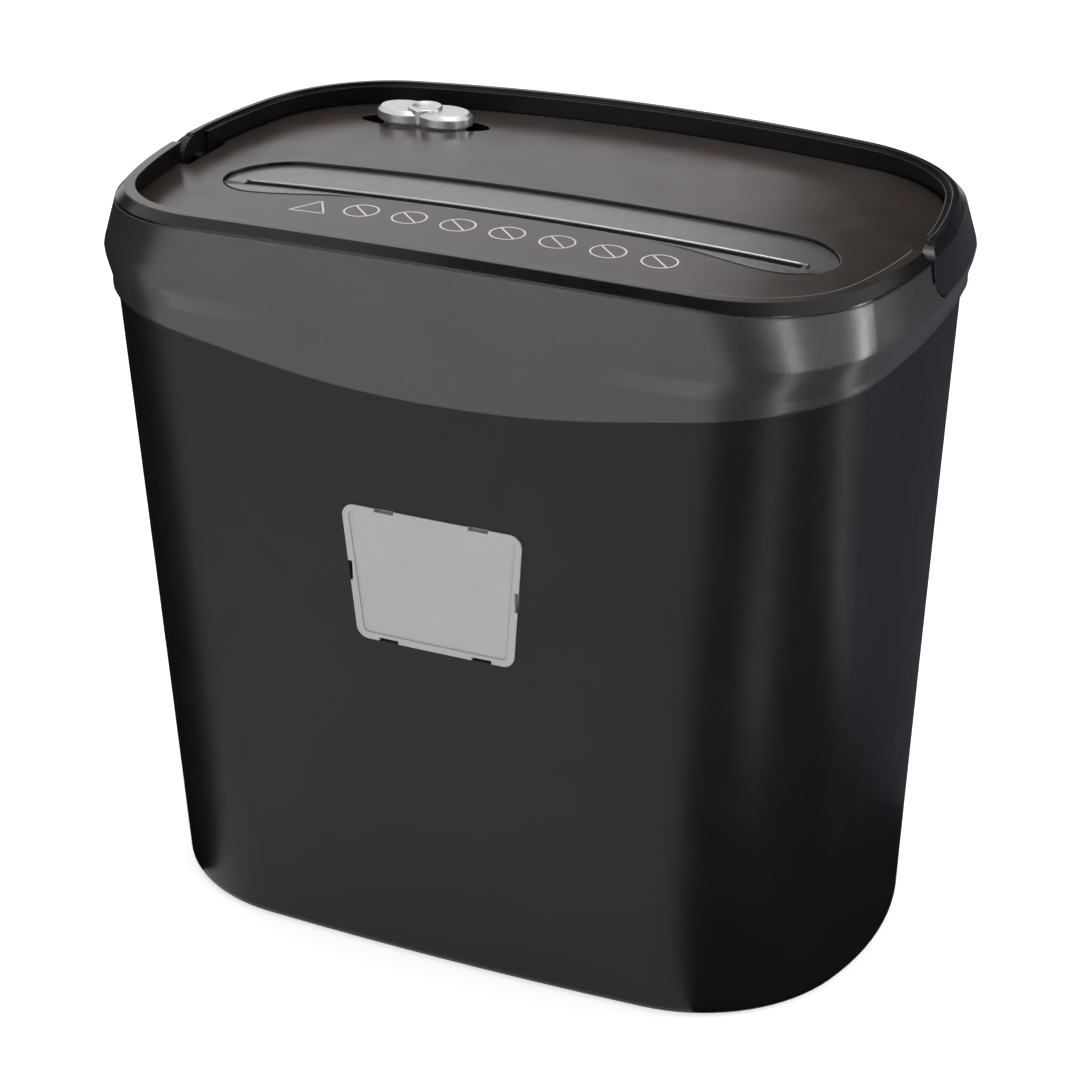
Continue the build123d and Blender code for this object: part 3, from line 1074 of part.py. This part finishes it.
def main():
    os.makedirs("parts", exist_ok=True)
    keep("bin", make_bin())
    keep("bin_window", make_window())
    room = swing_room()
    keep("head_cover", make_cover(room))
    keep("top_panel", make_top_panel(room))
    keep("feed_bezel", make_bezel())
    keep("feed_chute", make_chute())
    keep("carry_handle", make_handle())
    keep("handle_pivots", make_pivots())
    keep("head_base", make_base())
    keep("left_side_plate", make_plate(False))
    keep("right_side_plate", make_plate(True))
    keep("tie_rods", make_rods())
    keep("plate_screws", make_plate_screws())
    keep("shaft_bushes", make_bushes())
    keep("front_cutter", make_cutter(FRONT_CUTTER_Y, False))
    keep("rear_cutter", make_cutter(REAR_CUTTER_Y, True))
    keep("front_shaft_clips", shaft_clips(FRONT_CUTTER_Y, PLATE_OUTER + 2.0))
    keep("rear_shaft_clips", shaft_clips(REAR_CUTTER_Y, GEAR_END + 0.3))
    keep("front_comb", make_comb(FRONT_CUTTER_Y, False))
    keep("rear_comb", make_comb(REAR_CUTTER_Y, True))
    make_gears()
    keep("gear_studs", make_studs())
    keep("stud_clips", make_stud_clips())
    make_motor()
    make_rotor()
    keep("motor_screws", make_motor_screws())
    keep("cover_screws", make_cover_screws())
    make_board()
    keep("mode_switch", make_mode_switch())
    keep("mode_knob", make_knob())
    keep("feed_sensors", make_feed_sensors())
    make_interlock()
    keep("cord_gland", make_gland())
    for name, shape in parts.items():
        export_step(shape, f"parts/{name}.step")


if __name__ == "__main__":
    main()
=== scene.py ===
"""Looks of the paper shredder: finishes, small trim, studio and camera.

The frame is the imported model's: +Z up, the front faces -Y, metres. The trim's own
measures are in millimetres, as in the model's source.
"""
import json
import math

import bmesh
import bpy
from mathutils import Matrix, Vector


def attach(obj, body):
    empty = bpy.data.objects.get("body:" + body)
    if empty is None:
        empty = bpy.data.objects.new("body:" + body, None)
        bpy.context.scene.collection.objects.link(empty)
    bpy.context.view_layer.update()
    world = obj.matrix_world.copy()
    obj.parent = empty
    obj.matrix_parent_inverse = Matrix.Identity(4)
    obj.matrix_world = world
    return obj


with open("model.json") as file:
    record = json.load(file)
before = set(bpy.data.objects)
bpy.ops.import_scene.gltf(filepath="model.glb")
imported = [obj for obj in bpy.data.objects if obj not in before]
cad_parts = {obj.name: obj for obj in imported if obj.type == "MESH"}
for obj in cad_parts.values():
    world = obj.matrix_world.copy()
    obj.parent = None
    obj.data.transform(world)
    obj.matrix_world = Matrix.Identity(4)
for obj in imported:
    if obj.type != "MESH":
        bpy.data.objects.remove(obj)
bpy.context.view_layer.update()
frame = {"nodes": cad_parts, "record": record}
MM = 0.001

# ---------------------------------------------------------------- camera
# Fitted to the photograph. Angles in degrees, the azimuth from the front to the right.
AZIMUTH = 24.47
ELEVATION = 22.91
DISTANCE = 1.181
TARGET = Vector((0.0, 0.0, 0.2))
SENSOR_WIDTH = 36.0
LENS = 101.97
SHIFT = (-0.0004, -0.1213)
NEAR_CLIP = 0.05


def make_camera():
    a, e = math.radians(AZIMUTH), math.radians(ELEVATION)
    back = Vector((math.sin(a) * math.cos(e), -math.cos(a) * math.cos(e), math.sin(e)))
    data = bpy.data.cameras.new("camera")
    data.sensor_width = SENSOR_WIDTH
    data.lens = LENS
    data.shift_x, data.shift_y = SHIFT
    data.clip_start = NEAR_CLIP
    camera = bpy.data.objects.new("camera", data)
    camera.location = TARGET + back * DISTANCE
    camera.rotation_euler = (-back).to_track_quat("-Z", "Y").to_euler()
    bpy.context.scene.collection.objects.link(camera)
    bpy.context.scene.camera = camera


# ---------------------------------------------------------------- finishes
MOTTLE_SCALE = 22.0
SHEEN_SCALE = 60.0
GRAIN_SCALE = 1500.0
BEVEL_SAMPLES = 6


def shader(name, **sockets):
    """A Principled material; returns it with its tree and shader node."""
    mat = bpy.data.materials.new(name)
    mat.use_nodes = True
    tree = mat.node_tree
    bsdf = tree.nodes["Principled BSDF"]
    for key, value in sockets.items():
        bsdf.inputs[key.replace("_", " ")].default_value = value
    return mat, tree, bsdf


def noise(tree, scale, detail=3.0, stretch=None):
    """Noise in object space, a scale of n meaning features of about 1/n metre."""
    coords = tree.nodes.new("ShaderNodeTexCoord")
    out = coords.outputs["Object"]
    if stretch:
        mapping = tree.nodes.new("ShaderNodeMapping")
        mapping.inputs["Scale"].default_value = stretch
        tree.links.new(out, mapping.inputs["Vector"])
        out = mapping.outputs["Vector"]
    tex = tree.nodes.new("ShaderNodeTexNoise")
    tex.inputs["Scale"].default_value = scale
    tex.inputs["Detail"].default_value = detail
    tree.links.new(out, tex.inputs["Vector"])
    return tex.outputs["Fac"]


def spread(tree, value, low, high, start=0.3, end=0.7):
    """Map the part of a value from start to end onto a range of numbers."""
    node = tree.nodes.new("ShaderNodeMapRange")
    node.inputs["From Min"].default_value = start
    node.inputs["From Max"].default_value = end
    node.inputs["To Min"].default_value = low
    node.inputs["To Max"].default_value = high
    tree.links.new(value, node.inputs["Value"])
    return node.outputs["Result"]


def tint(tree, value, dark, light, start=0.3, end=0.7):
    """Map the part of a value from start to end onto a range of colours."""
    ramp = tree.nodes.new("ShaderNodeValToRGB")
    for element, position, colour in zip(ramp.color_ramp.elements, (start, end), (dark, light)):
        element.position = position
        element.color = (*colour, 1)
    tree.links.new(value, ramp.inputs["Fac"])
    return ramp.outputs["Color"]


def bump(tree, bsdf, value, depth):
    """Raise the surface by a value, depth in metres, on top of a normal already linked."""
    node = tree.nodes.new("ShaderNodeBump")
    node.inputs["Distance"].default_value = depth
    tree.links.new(value, node.inputs["Height"])
    if bsdf.inputs["Normal"].links:
        tree.links.new(bsdf.inputs["Normal"].links[0].from_socket, node.inputs["Normal"])
    tree.links.new(node.outputs["Normal"], bsdf.inputs["Normal"])


def soften(tree, bsdf, radius):
    """Round the moulded edges a little where they catch the light."""
    node = tree.nodes.new("ShaderNodeBevel")
    node.samples = BEVEL_SAMPLES
    node.inputs["Radius"].default_value = radius
    tree.links.new(node.outputs["Normal"], bsdf.inputs["Normal"])


def mottle(tree, dark, light):
    """Broad, faint clouds of colour."""
    return tint(tree, noise(tree, MOTTLE_SCALE, 4.0), dark, light)


def uneven_sheen(tree, bsdf, low, high, scale=SHEEN_SCALE, detail=5.0):
    """Roughness that drifts between two values."""
    tree.links.new(spread(tree, noise(tree, scale, detail), low, high), bsdf.inputs["Roughness"])


def shade(colour, factor):
    return tuple(min(1.0, c * factor) for c in colour)


def plastic(name, colour, rough, grain=GRAIN_SCALE, depth=0.00003, vary=0.12, edge=0, **sockets):
    """Moulded plastic: fine spark-eroded grain, slight mottling and uneven sheen."""
    mat, tree, bsdf = shader(name, **sockets)
    if edge:
        soften(tree, bsdf, edge)
    clouds = mottle(tree, shade(colour, 1 - vary), shade(colour, 1 + vary))
    tree.links.new(clouds, bsdf.inputs["Base Color"])
    uneven_sheen(tree, bsdf, rough - 0.03, rough + 0.04)
    bump(tree, bsdf, noise(tree, grain, 2.0), depth)
    return mat


def panel_plastic(name, rim_painted_shade, dark, light):
    """The panel's plastic, mottled dark to light, with near-black painted shade on the sharply
    sloping faces of its rim.
    """
    mat, tree, bsdf = shader(name, Specular_IOR_Level=0.38)
    soften(tree, bsdf, 0.0007)
    coords = tree.nodes.new("ShaderNodeTexCoord")
    split = tree.nodes.new("ShaderNodeSeparateXYZ")
    tree.links.new(coords.outputs["Normal"], split.inputs[0])
    # Painted shade: faces that slope sharply, as on the rim, take a near-black colour in place of
    # the mottle.
    facing_up = spread(tree, split.outputs["Z"], 0.0, 1.0, 0.88, 0.97)
    mix = tree.nodes.new("ShaderNodeMixRGB")
    mix.inputs[1].default_value = (*rim_painted_shade, 1)
    tree.links.new(facing_up, mix.inputs[0])
    tree.links.new(mottle(tree, dark, light), mix.inputs[2])
    tree.links.new(mix.outputs[0], bsdf.inputs["Base Color"])
    uneven_sheen(tree, bsdf, 0.19, 0.26)
    bump(tree, bsdf, noise(tree, GRAIN_SCALE, 2.0), 0.000006)
    return mat


def metal(name, colour, rough, stretch=(1, 1, 1), scale=400.0, depth=0.00001):
    """Worked metal with fine tool marks, drawn out along the axis of the smallest stretch."""
    mat, tree, bsdf = shader(name, Metallic=1.0)
    marks = noise(tree, scale, 3.0, stretch)
    tones = tint(tree, marks, shade(colour, 0.8), shade(colour, 1.15))
    tree.links.new(tones, bsdf.inputs["Base Color"])
    tree.links.new(spread(tree, marks, rough - 0.08, rough + 0.1), bsdf.inputs["Roughness"])
    bump(tree, bsdf, marks, depth)
    return mat


def silver_paint(name, dark, light):
    """Silver lacquer over plastic, with fine metal flake."""
    mat, tree, bsdf = shader(name, Metallic=0.85, Coat_Weight=0.3, Coat_Roughness=0.15)
    soften(tree, bsdf, 0.0004)
    flake = noise(tree, 6000.0, 1.0)
    tree.links.new(tint(tree, flake, dark, light), bsdf.inputs["Base Color"])
    uneven_sheen(tree, bsdf, 0.27, 0.38, scale=300.0, detail=3.0)
    bump(tree, bsdf, flake, 0.000004)
    return mat


def window_plastic(name, dark, light):
    """Frosted, lightly translucent plastic."""
    mat, tree, bsdf = shader(name, Transmission_Weight=0.12, IOR=1.49)
    haze = noise(tree, 35.0, 4.0)
    tree.links.new(tint(tree, haze, dark, light), bsdf.inputs["Base Color"])
    tree.links.new(spread(tree, haze, 0.36, 0.46), bsdf.inputs["Roughness"])
    bump(tree, bsdf, noise(tree, 2500.0, 2.0), 0.00002)
    return mat


def windings(name, dark, light):
    """Enamelled wire wound side by side, with painted shade in the grooves between the wires."""
    mat, tree, bsdf = shader(name, Metallic=0.7)
    coords = tree.nodes.new("ShaderNodeTexCoord")
    wave = tree.nodes.new("ShaderNodeTexWave")
    wave.bands_direction = "Z"
    wave.inputs["Scale"].default_value = 320.0
    wave.inputs["Distortion"].default_value = 1.2
    tree.links.new(coords.outputs["Object"], wave.inputs["Vector"])
    wires = wave.outputs["Fac"]
    # Painted shade: the colour runs dark in the grooves between the wires.
    tree.links.new(tint(tree, wires, dark, light, 0.1, 0.9), bsdf.inputs["Base Color"])
    tree.links.new(spread(tree, wires, 0.5, 0.28), bsdf.inputs["Roughness"])
    bump(tree, bsdf, wires, 0.0002)
    return mat


# One finish for each material slot of the record.
FINISH = {
    "bin_shell": plastic(
        "bin_black", (0.0044, 0.0046, 0.0057), 0.38, edge=0.0005, Specular_IOR_Level=0.22),
    "head_shell": plastic(
        "head_charcoal", (0.023, 0.0232, 0.023), 0.29, edge=0.0018, Specular_IOR_Level=0.56),
    # The panel's rim carries painted shade, a near-black colour on its sharply sloping faces.
    "top_shell": panel_plastic(
        "panel_brown_with_painted_rim_shade", rim_painted_shade=(0.0045, 0.0042, 0.0042), dark=(0.029, 0.0215, 0.0185),
        light=(0.037, 0.028, 0.0245)),
    "handle_plastic": plastic(
        "handle_slate", (0.0055, 0.0062, 0.0085), 0.28, edge=0.0006, Specular_IOR_Level=0.35),
    "black_plastic": plastic("inner_black", (0.012, 0.012, 0.013), 0.5),
    "silver_plastic": silver_paint("silver_lacquer", (0.125, 0.125, 0.124), (0.19, 0.19, 0.188)),
    "window_plastic": window_plastic("frosted_window", (0.37, 0.375, 0.38), (0.41, 0.415, 0.42)),
    "steel": metal("machined_steel", (0.50, 0.50, 0.51), 0.32, (0.15, 1, 1), 900.0),
    "bronze": metal("sintered_bronze", (0.48, 0.30, 0.14), 0.45),
    "gear_nylon": plastic(
        "gear_nylon", (0.74, 0.72, 0.65), 0.4, depth=0.00001, Subsurface_Weight=0.1,
        Subsurface_Scale=0.001),
    "copper": windings("copper_windings", (0.22, 0.06, 0.025), (0.72, 0.30, 0.12)),
    "board": plastic("board_green", (0.02, 0.12, 0.05), 0.35, depth=0.00001),
    "relay_plastic": plastic("relay_blue", (0.03, 0.09, 0.30), 0.4),
}


def dress(node, mat):
    """Give a carried-over node one finish."""
    materials = frame["nodes"][node].data.materials
    materials.clear()
    materials.append(mat)


for part in frame["record"]["subparts"]:
    dress(part["node"], FINISH[part["material_slot"]])
# The knob is brighter than the bezel, and the pivots are darker than the other steel.
dress("mode_knob", silver_paint("bright_silver_lacquer", (0.50, 0.50, 0.50), (0.66, 0.66, 0.655)))
dress("handle_pivots", metal("blackened_steel", (0.02, 0.02, 0.022), 0.45))


# ---------------------------------------------------------------- trim
PROBE_HEIGHT = 1.0


def on_panel(x, y):
    """The place above (x, y), in millimetres, on the crowned panel or the bezel in it."""
    heights = []
    for node in ("top_panel", "feed_bezel"):
        start = Vector((x * MM, y * MM, PROBE_HEIGHT))
        found, spot, _, _ = frame["nodes"][node].ray_cast(start, Vector((0, 0, -1)))
        if found:
            heights.append(spot.z)
    return Vector((x * MM, y * MM, max(heights)))


def sweep(bm, path, section, closed=False):
    """Carry a section of (side, up) millimetres along a path; open ends are capped."""
    rings = []
    count = len(path)
    for i, spot in enumerate(path):
        before = path[i - 1] if closed or i else path[i]
        after = path[(i + 1) % count] if closed or i < count - 1 else path[i]
        side = (after - before).cross(Vector((0, 0, 1))).normalized()
        places = [spot + side * (a * MM) + Vector((0, 0, b * MM)) for a, b in section]
        rings.append([bm.verts.new(place) for place in places])
    size = len(section)
    for i in range(count if closed else count - 1):
        one, two = rings[i], rings[(i + 1) % count]
        for j in range(size):
            bm.faces.new((one[j], one[(j + 1) % size], two[(j + 1) % size], two[j]))
    if not closed:
        bm.faces.new(rings[0])
        bm.faces.new(list(reversed(rings[-1])))


def finish_piece(name, bm, mat, body, smooth=False):
    """Turn the mesh into a piece that rides on a body."""
    bmesh.ops.recalc_face_normals(bm, faces=bm.faces)
    mesh = bpy.data.meshes.new(name)
    bm.to_mesh(mesh)
    bm.free()
    for face in mesh.polygons:
        face.use_smooth = smooth
    mesh.materials.append(mat)
    obj = bpy.data.objects.new(name, mesh)
    bpy.context.scene.collection.objects.link(obj)
    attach(obj, body)


MARK_LINE = 0.7
MARK_LIFT = 0.03
TRIANGLE = ((-79.5, -50.6), (-65.0, -50.6), (-72.2, -38.2))
TRIANGLE_STEPS = 8
RINGS = 7
RING_RADIUS = 6.5
RING_STEPS = 48
RING_FIRST_X = -53.2
RING_PITCH = 20.13
RING_ROW_Y = -44.5
RING_ROW_SLOPE = -0.03
STROKE_STEPS = 10


def line_between(start, end, steps):
    points = []
    for i in range(steps + 1):
        t = i / steps
        x, y = (a + (b - a) * t for a, b in zip(start, end))
        points.append(on_panel(x, y))
    return points


def make_marks():
    """A plain triangle and seven plain rings, each with one stroke across."""
    ink = [(-MARK_LINE / 2, -MARK_LIFT), (MARK_LINE / 2, -MARK_LIFT),
           (MARK_LINE / 2, MARK_LIFT), (-MARK_LINE / 2, MARK_LIFT)]
    bm = bmesh.new()
    outline = []
    for i, corner in enumerate(TRIANGLE):
        outline += line_between(corner, TRIANGLE[(i + 1) % 3], TRIANGLE_STEPS)[:-1]
    sweep(bm, outline, ink, closed=True)
    reach = (RING_RADIUS - MARK_LINE / 2) * math.sqrt(0.5)
    for i in range(RINGS):
        x = RING_FIRST_X + RING_PITCH * i
        y = RING_ROW_Y + RING_ROW_SLOPE * x
        ring = []
        for j in range(RING_STEPS):
            turn = math.tau * j / RING_STEPS
            ring.append(on_panel(x + RING_RADIUS * math.cos(turn),
                                 y + RING_RADIUS * math.sin(turn)))
        sweep(bm, ring, ink, closed=True)
        stroke = line_between((x - reach, y + reach), (x + reach, y - reach), STROKE_STEPS)
        sweep(bm, stroke, ink)
    mat = plastic("pad_printed_ink", (0.60, 0.57, 0.55), 0.5, grain=4000.0, depth=0.000004,
                  vary=0.18)
    finish_piece("panel_marks", bm, mat, "head")


BEAD_HALF_LENGTH = 114.0    # 1 mm past the end of the slot
BEAD_Y = -21.2              # 0.8 mm behind the back edge of the slot
BEAD_HALF_WIDTH = 0.6
BEAD_HEIGHT = 0.35
BEAD_ROOT = -0.7
BEAD_STEPS = 60
ARCH_STEPS = 6


def make_slot_bead():
    """Half-round bead along the back of the paper slot, coloured bright as a painted highlight.
    """
    arch = [(-BEAD_HALF_WIDTH, BEAD_ROOT)]
    for i in range(ARCH_STEPS + 1):
        turn = math.pi * i / ARCH_STEPS
        arch.append((-BEAD_HALF_WIDTH * math.cos(turn), BEAD_HEIGHT * math.sin(turn)))
    arch.append((BEAD_HALF_WIDTH, BEAD_ROOT))
    path = []
    for i in range(BEAD_STEPS + 1):
        path.append(on_panel(BEAD_HALF_LENGTH * (2 * i / BEAD_STEPS - 1), BEAD_Y))
    bm = bmesh.new()
    sweep(bm, path, arch)
    # Painted highlight: the bead's colour, far lighter than the bezel's silver, gives the light
    # line along the slot.
    mat = metal("bead_lacquer_painted_highlight", (0.42, 0.42, 0.41), 0.3, (0.1, 1, 1), 700.0)
    finish_piece("slot_bead", bm, mat, "head", smooth=True)


make_marks()
make_slot_bead()


# ---------------------------------------------------------------- studio
MIDDLE = (0, 0, 0.2)
FLOOR_HALF = 6
FLOOR_GREY = 0.82
FLOOR_GLOW = 0.55
FILL = 0.65
CLOTH_HEIGHT = 0.002
BLACK_CLOTH = (0.004, 0.004, 0.004)
BLUE_GREY_CLOTH = (0.10, 0.11, 0.135)
STRIP_HEIGHT = 0.3
FLOOR_STRIP_HEIGHT = 0.012


def around(azimuth, distance, height):
    """A place at an azimuth from the front (-Y) towards the right (+X)."""
    turn = math.radians(azimuth)
    return (distance * math.sin(turn), -distance * math.cos(turn), height)


def oblong(width, height):
    return [(x * width / 2, y * height / 2) for x, y in ((-1, -1), (1, -1), (1, 1), (-1, 1))]


def flat_mesh(name, corners, mat):
    """One level face, made into an object outside the scene."""
    mesh = bpy.data.meshes.new(name)
    mesh.from_pydata([(x, y, 0) for x, y in corners], [], [tuple(range(len(corners)))])
    mesh.materials.append(mat)
    return bpy.data.objects.new(name, mesh)


def place_facing(obj, place, aim):
    """Put an object in the scene, its -Z towards a point, or lying flat without one."""
    obj.location = place
    if aim:
        obj.rotation_euler = (Vector(place) - Vector(aim)).to_track_quat("Z", "Y").to_euler()
    bpy.context.scene.collection.objects.link(obj)


def cloth(name, corners, place=(0, 0, CLOTH_HEIGHT), aim=None, colour=BLACK_CLOTH):
    """Dark studio cloth, standing or just above the floor, that only reflections meet."""
    mat = shader(name, Base_Color=(*colour, 1), Roughness=1.0, Specular_IOR_Level=0.0)[0]
    obj = flat_mesh(name, corners, mat)
    place_facing(obj, place, aim)
    obj.visible_camera = obj.visible_diffuse = obj.visible_shadow = False


def softbox(name, place, aim, width, height, power):
    """A rectangular lamp facing a point."""
    data = bpy.data.lights.new(name, "AREA")
    data.shape = "RECTANGLE"
    data.size, data.size_y = width, height
    data.energy = power
    lamp = bpy.data.objects.new(name, data)
    place_facing(lamp, place, aim)
    lamp.visible_camera = False
    return lamp


def floor_strip(name, azimuth, length, power):
    """A narrow lamp just above the floor, pointing away from the object and shining up."""
    place = around(azimuth, 0.6, FLOOR_STRIP_HEIGHT)
    lamp = softbox(name, place, None, 0.06, length, power)
    lamp.rotation_euler = (math.pi, 0, math.radians(180 + azimuth))


def seen_as_background(tree):
    """1 for rays that should meet the white background, 0 for the rest."""
    path = tree.nodes.new("ShaderNodeLightPath")
    total = path.outputs["Is Camera Ray"]
    for key in ("Is Glossy Ray", "Is Transmission Ray"):
        node = tree.nodes.new("ShaderNodeMath")
        node.operation = "MAXIMUM"
        tree.links.new(total, node.inputs[0])
        tree.links.new(path.outputs[key], node.inputs[1])
        total = node.outputs[0]
    return total


def make_floor():
    """Pale floor that keeps the object's shadow and looks white to camera and reflections."""
    mat = bpy.data.materials.new("floor_white")
    mat.use_nodes = True
    tree = mat.node_tree
    tree.nodes.clear()
    diffuse = tree.nodes.new("ShaderNodeBsdfDiffuse")
    diffuse.inputs["Color"].default_value = (FLOOR_GREY, FLOOR_GREY, FLOOR_GREY, 1)
    weaken = tree.nodes.new("ShaderNodeMath")
    weaken.operation = "MULTIPLY"
    weaken.inputs[1].default_value = FLOOR_GLOW
    tree.links.new(seen_as_background(tree), weaken.inputs[0])
    glow = tree.nodes.new("ShaderNodeEmission")
    tree.links.new(weaken.outputs[0], glow.inputs["Strength"])
    add = tree.nodes.new("ShaderNodeAddShader")
    tree.links.new(diffuse.outputs[0], add.inputs[0])
    tree.links.new(glow.outputs[0], add.inputs[1])
    output = tree.nodes.new("ShaderNodeOutputMaterial")
    tree.links.new(add.outputs[0], output.inputs["Surface"])
    floor = flat_mesh("floor", oblong(2 * FLOOR_HALF, 2 * FLOOR_HALF), mat)
    bpy.context.scene.collection.objects.link(floor)


def make_world():
    """White to camera and reflections, and an even fill of light to the rest."""
    world = bpy.data.worlds.new("studio")
    bpy.context.scene.world = world
    world.use_nodes = True
    tree = world.node_tree
    background = tree.nodes["Background"]
    background.inputs["Color"].default_value = (1, 1, 1, 1)
    level = tree.nodes.new("ShaderNodeMapRange")
    level.inputs["To Min"].default_value = FILL
    level.inputs["To Max"].default_value = 1.0
    tree.links.new(seen_as_background(tree), level.inputs["Value"])
    tree.links.new(level.outputs["Result"], background.inputs["Strength"])


make_camera()
make_world()
make_floor()

softbox("front_box", around(-22, 1.5, 0.5), MIDDLE, 1.15, 0.9, 5.5)
softbox("top_box", (-0.1, 0.1, 1.6), MIDDLE, 0.7, 0.6, 8)

# Narrow lamps for the upright highlights on the rounded corners at the right.
strip_aim = (0, 0, STRIP_HEIGHT)
softbox("strip_front_right", around(52, 0.85, STRIP_HEIGHT), strip_aim, 0.09, 0.58, 1.5)
softbox("strip_right", around(108, 0.85, STRIP_HEIGHT), strip_aim, 0.11, 0.58, 2.6)
floor_strip("strip_floor_1", 52, 0.6, 0.4)
floor_strip("strip_floor_2", 104, 0.5, 0.22)

# Standing cloths, then cloths on the floor, for the dark parts of the reflections.
cloth("flag_front", oblong(3.6, 1.9), around(20, 1.7, 1.75), MIDDLE)
cloth("flag_left", oblong(2.3, 0.9), around(-84, 1.6, 0.35), MIDDLE)
cloth("flag_right", oblong(1.5, 0.9), around(141, 1.5, 0.4), MIDDLE)
cloth("flag_front_right", oblong(0.75, 0.6), around(18, 1.5, 0.3), MIDDLE)
cloth("flag_back_right", oblong(1.5, 1.6), around(171, 1.7, 0.9), MIDDLE)
cloth("cloth_front_right", [(0.1, -0.095), (0.11, -1.4), (1.7, -1.4), (1.7, 0.1), (0.1, 0.1)])
cloth("cloth_back_right", [(0.1, 0.1), (1.7, 0.1), (1.7, 1.5), (-0.2, 1.5), (-0.05, 0.1)],
      colour=BLUE_GREY_CLOTH)
cloth("cloth_left", [(-0.12, -0.08), (-0.2, 1.5), (-1.7, 1.5), (-1.7, -1.0)])

bpy.context.scene.view_settings.view_transform = "Standard"
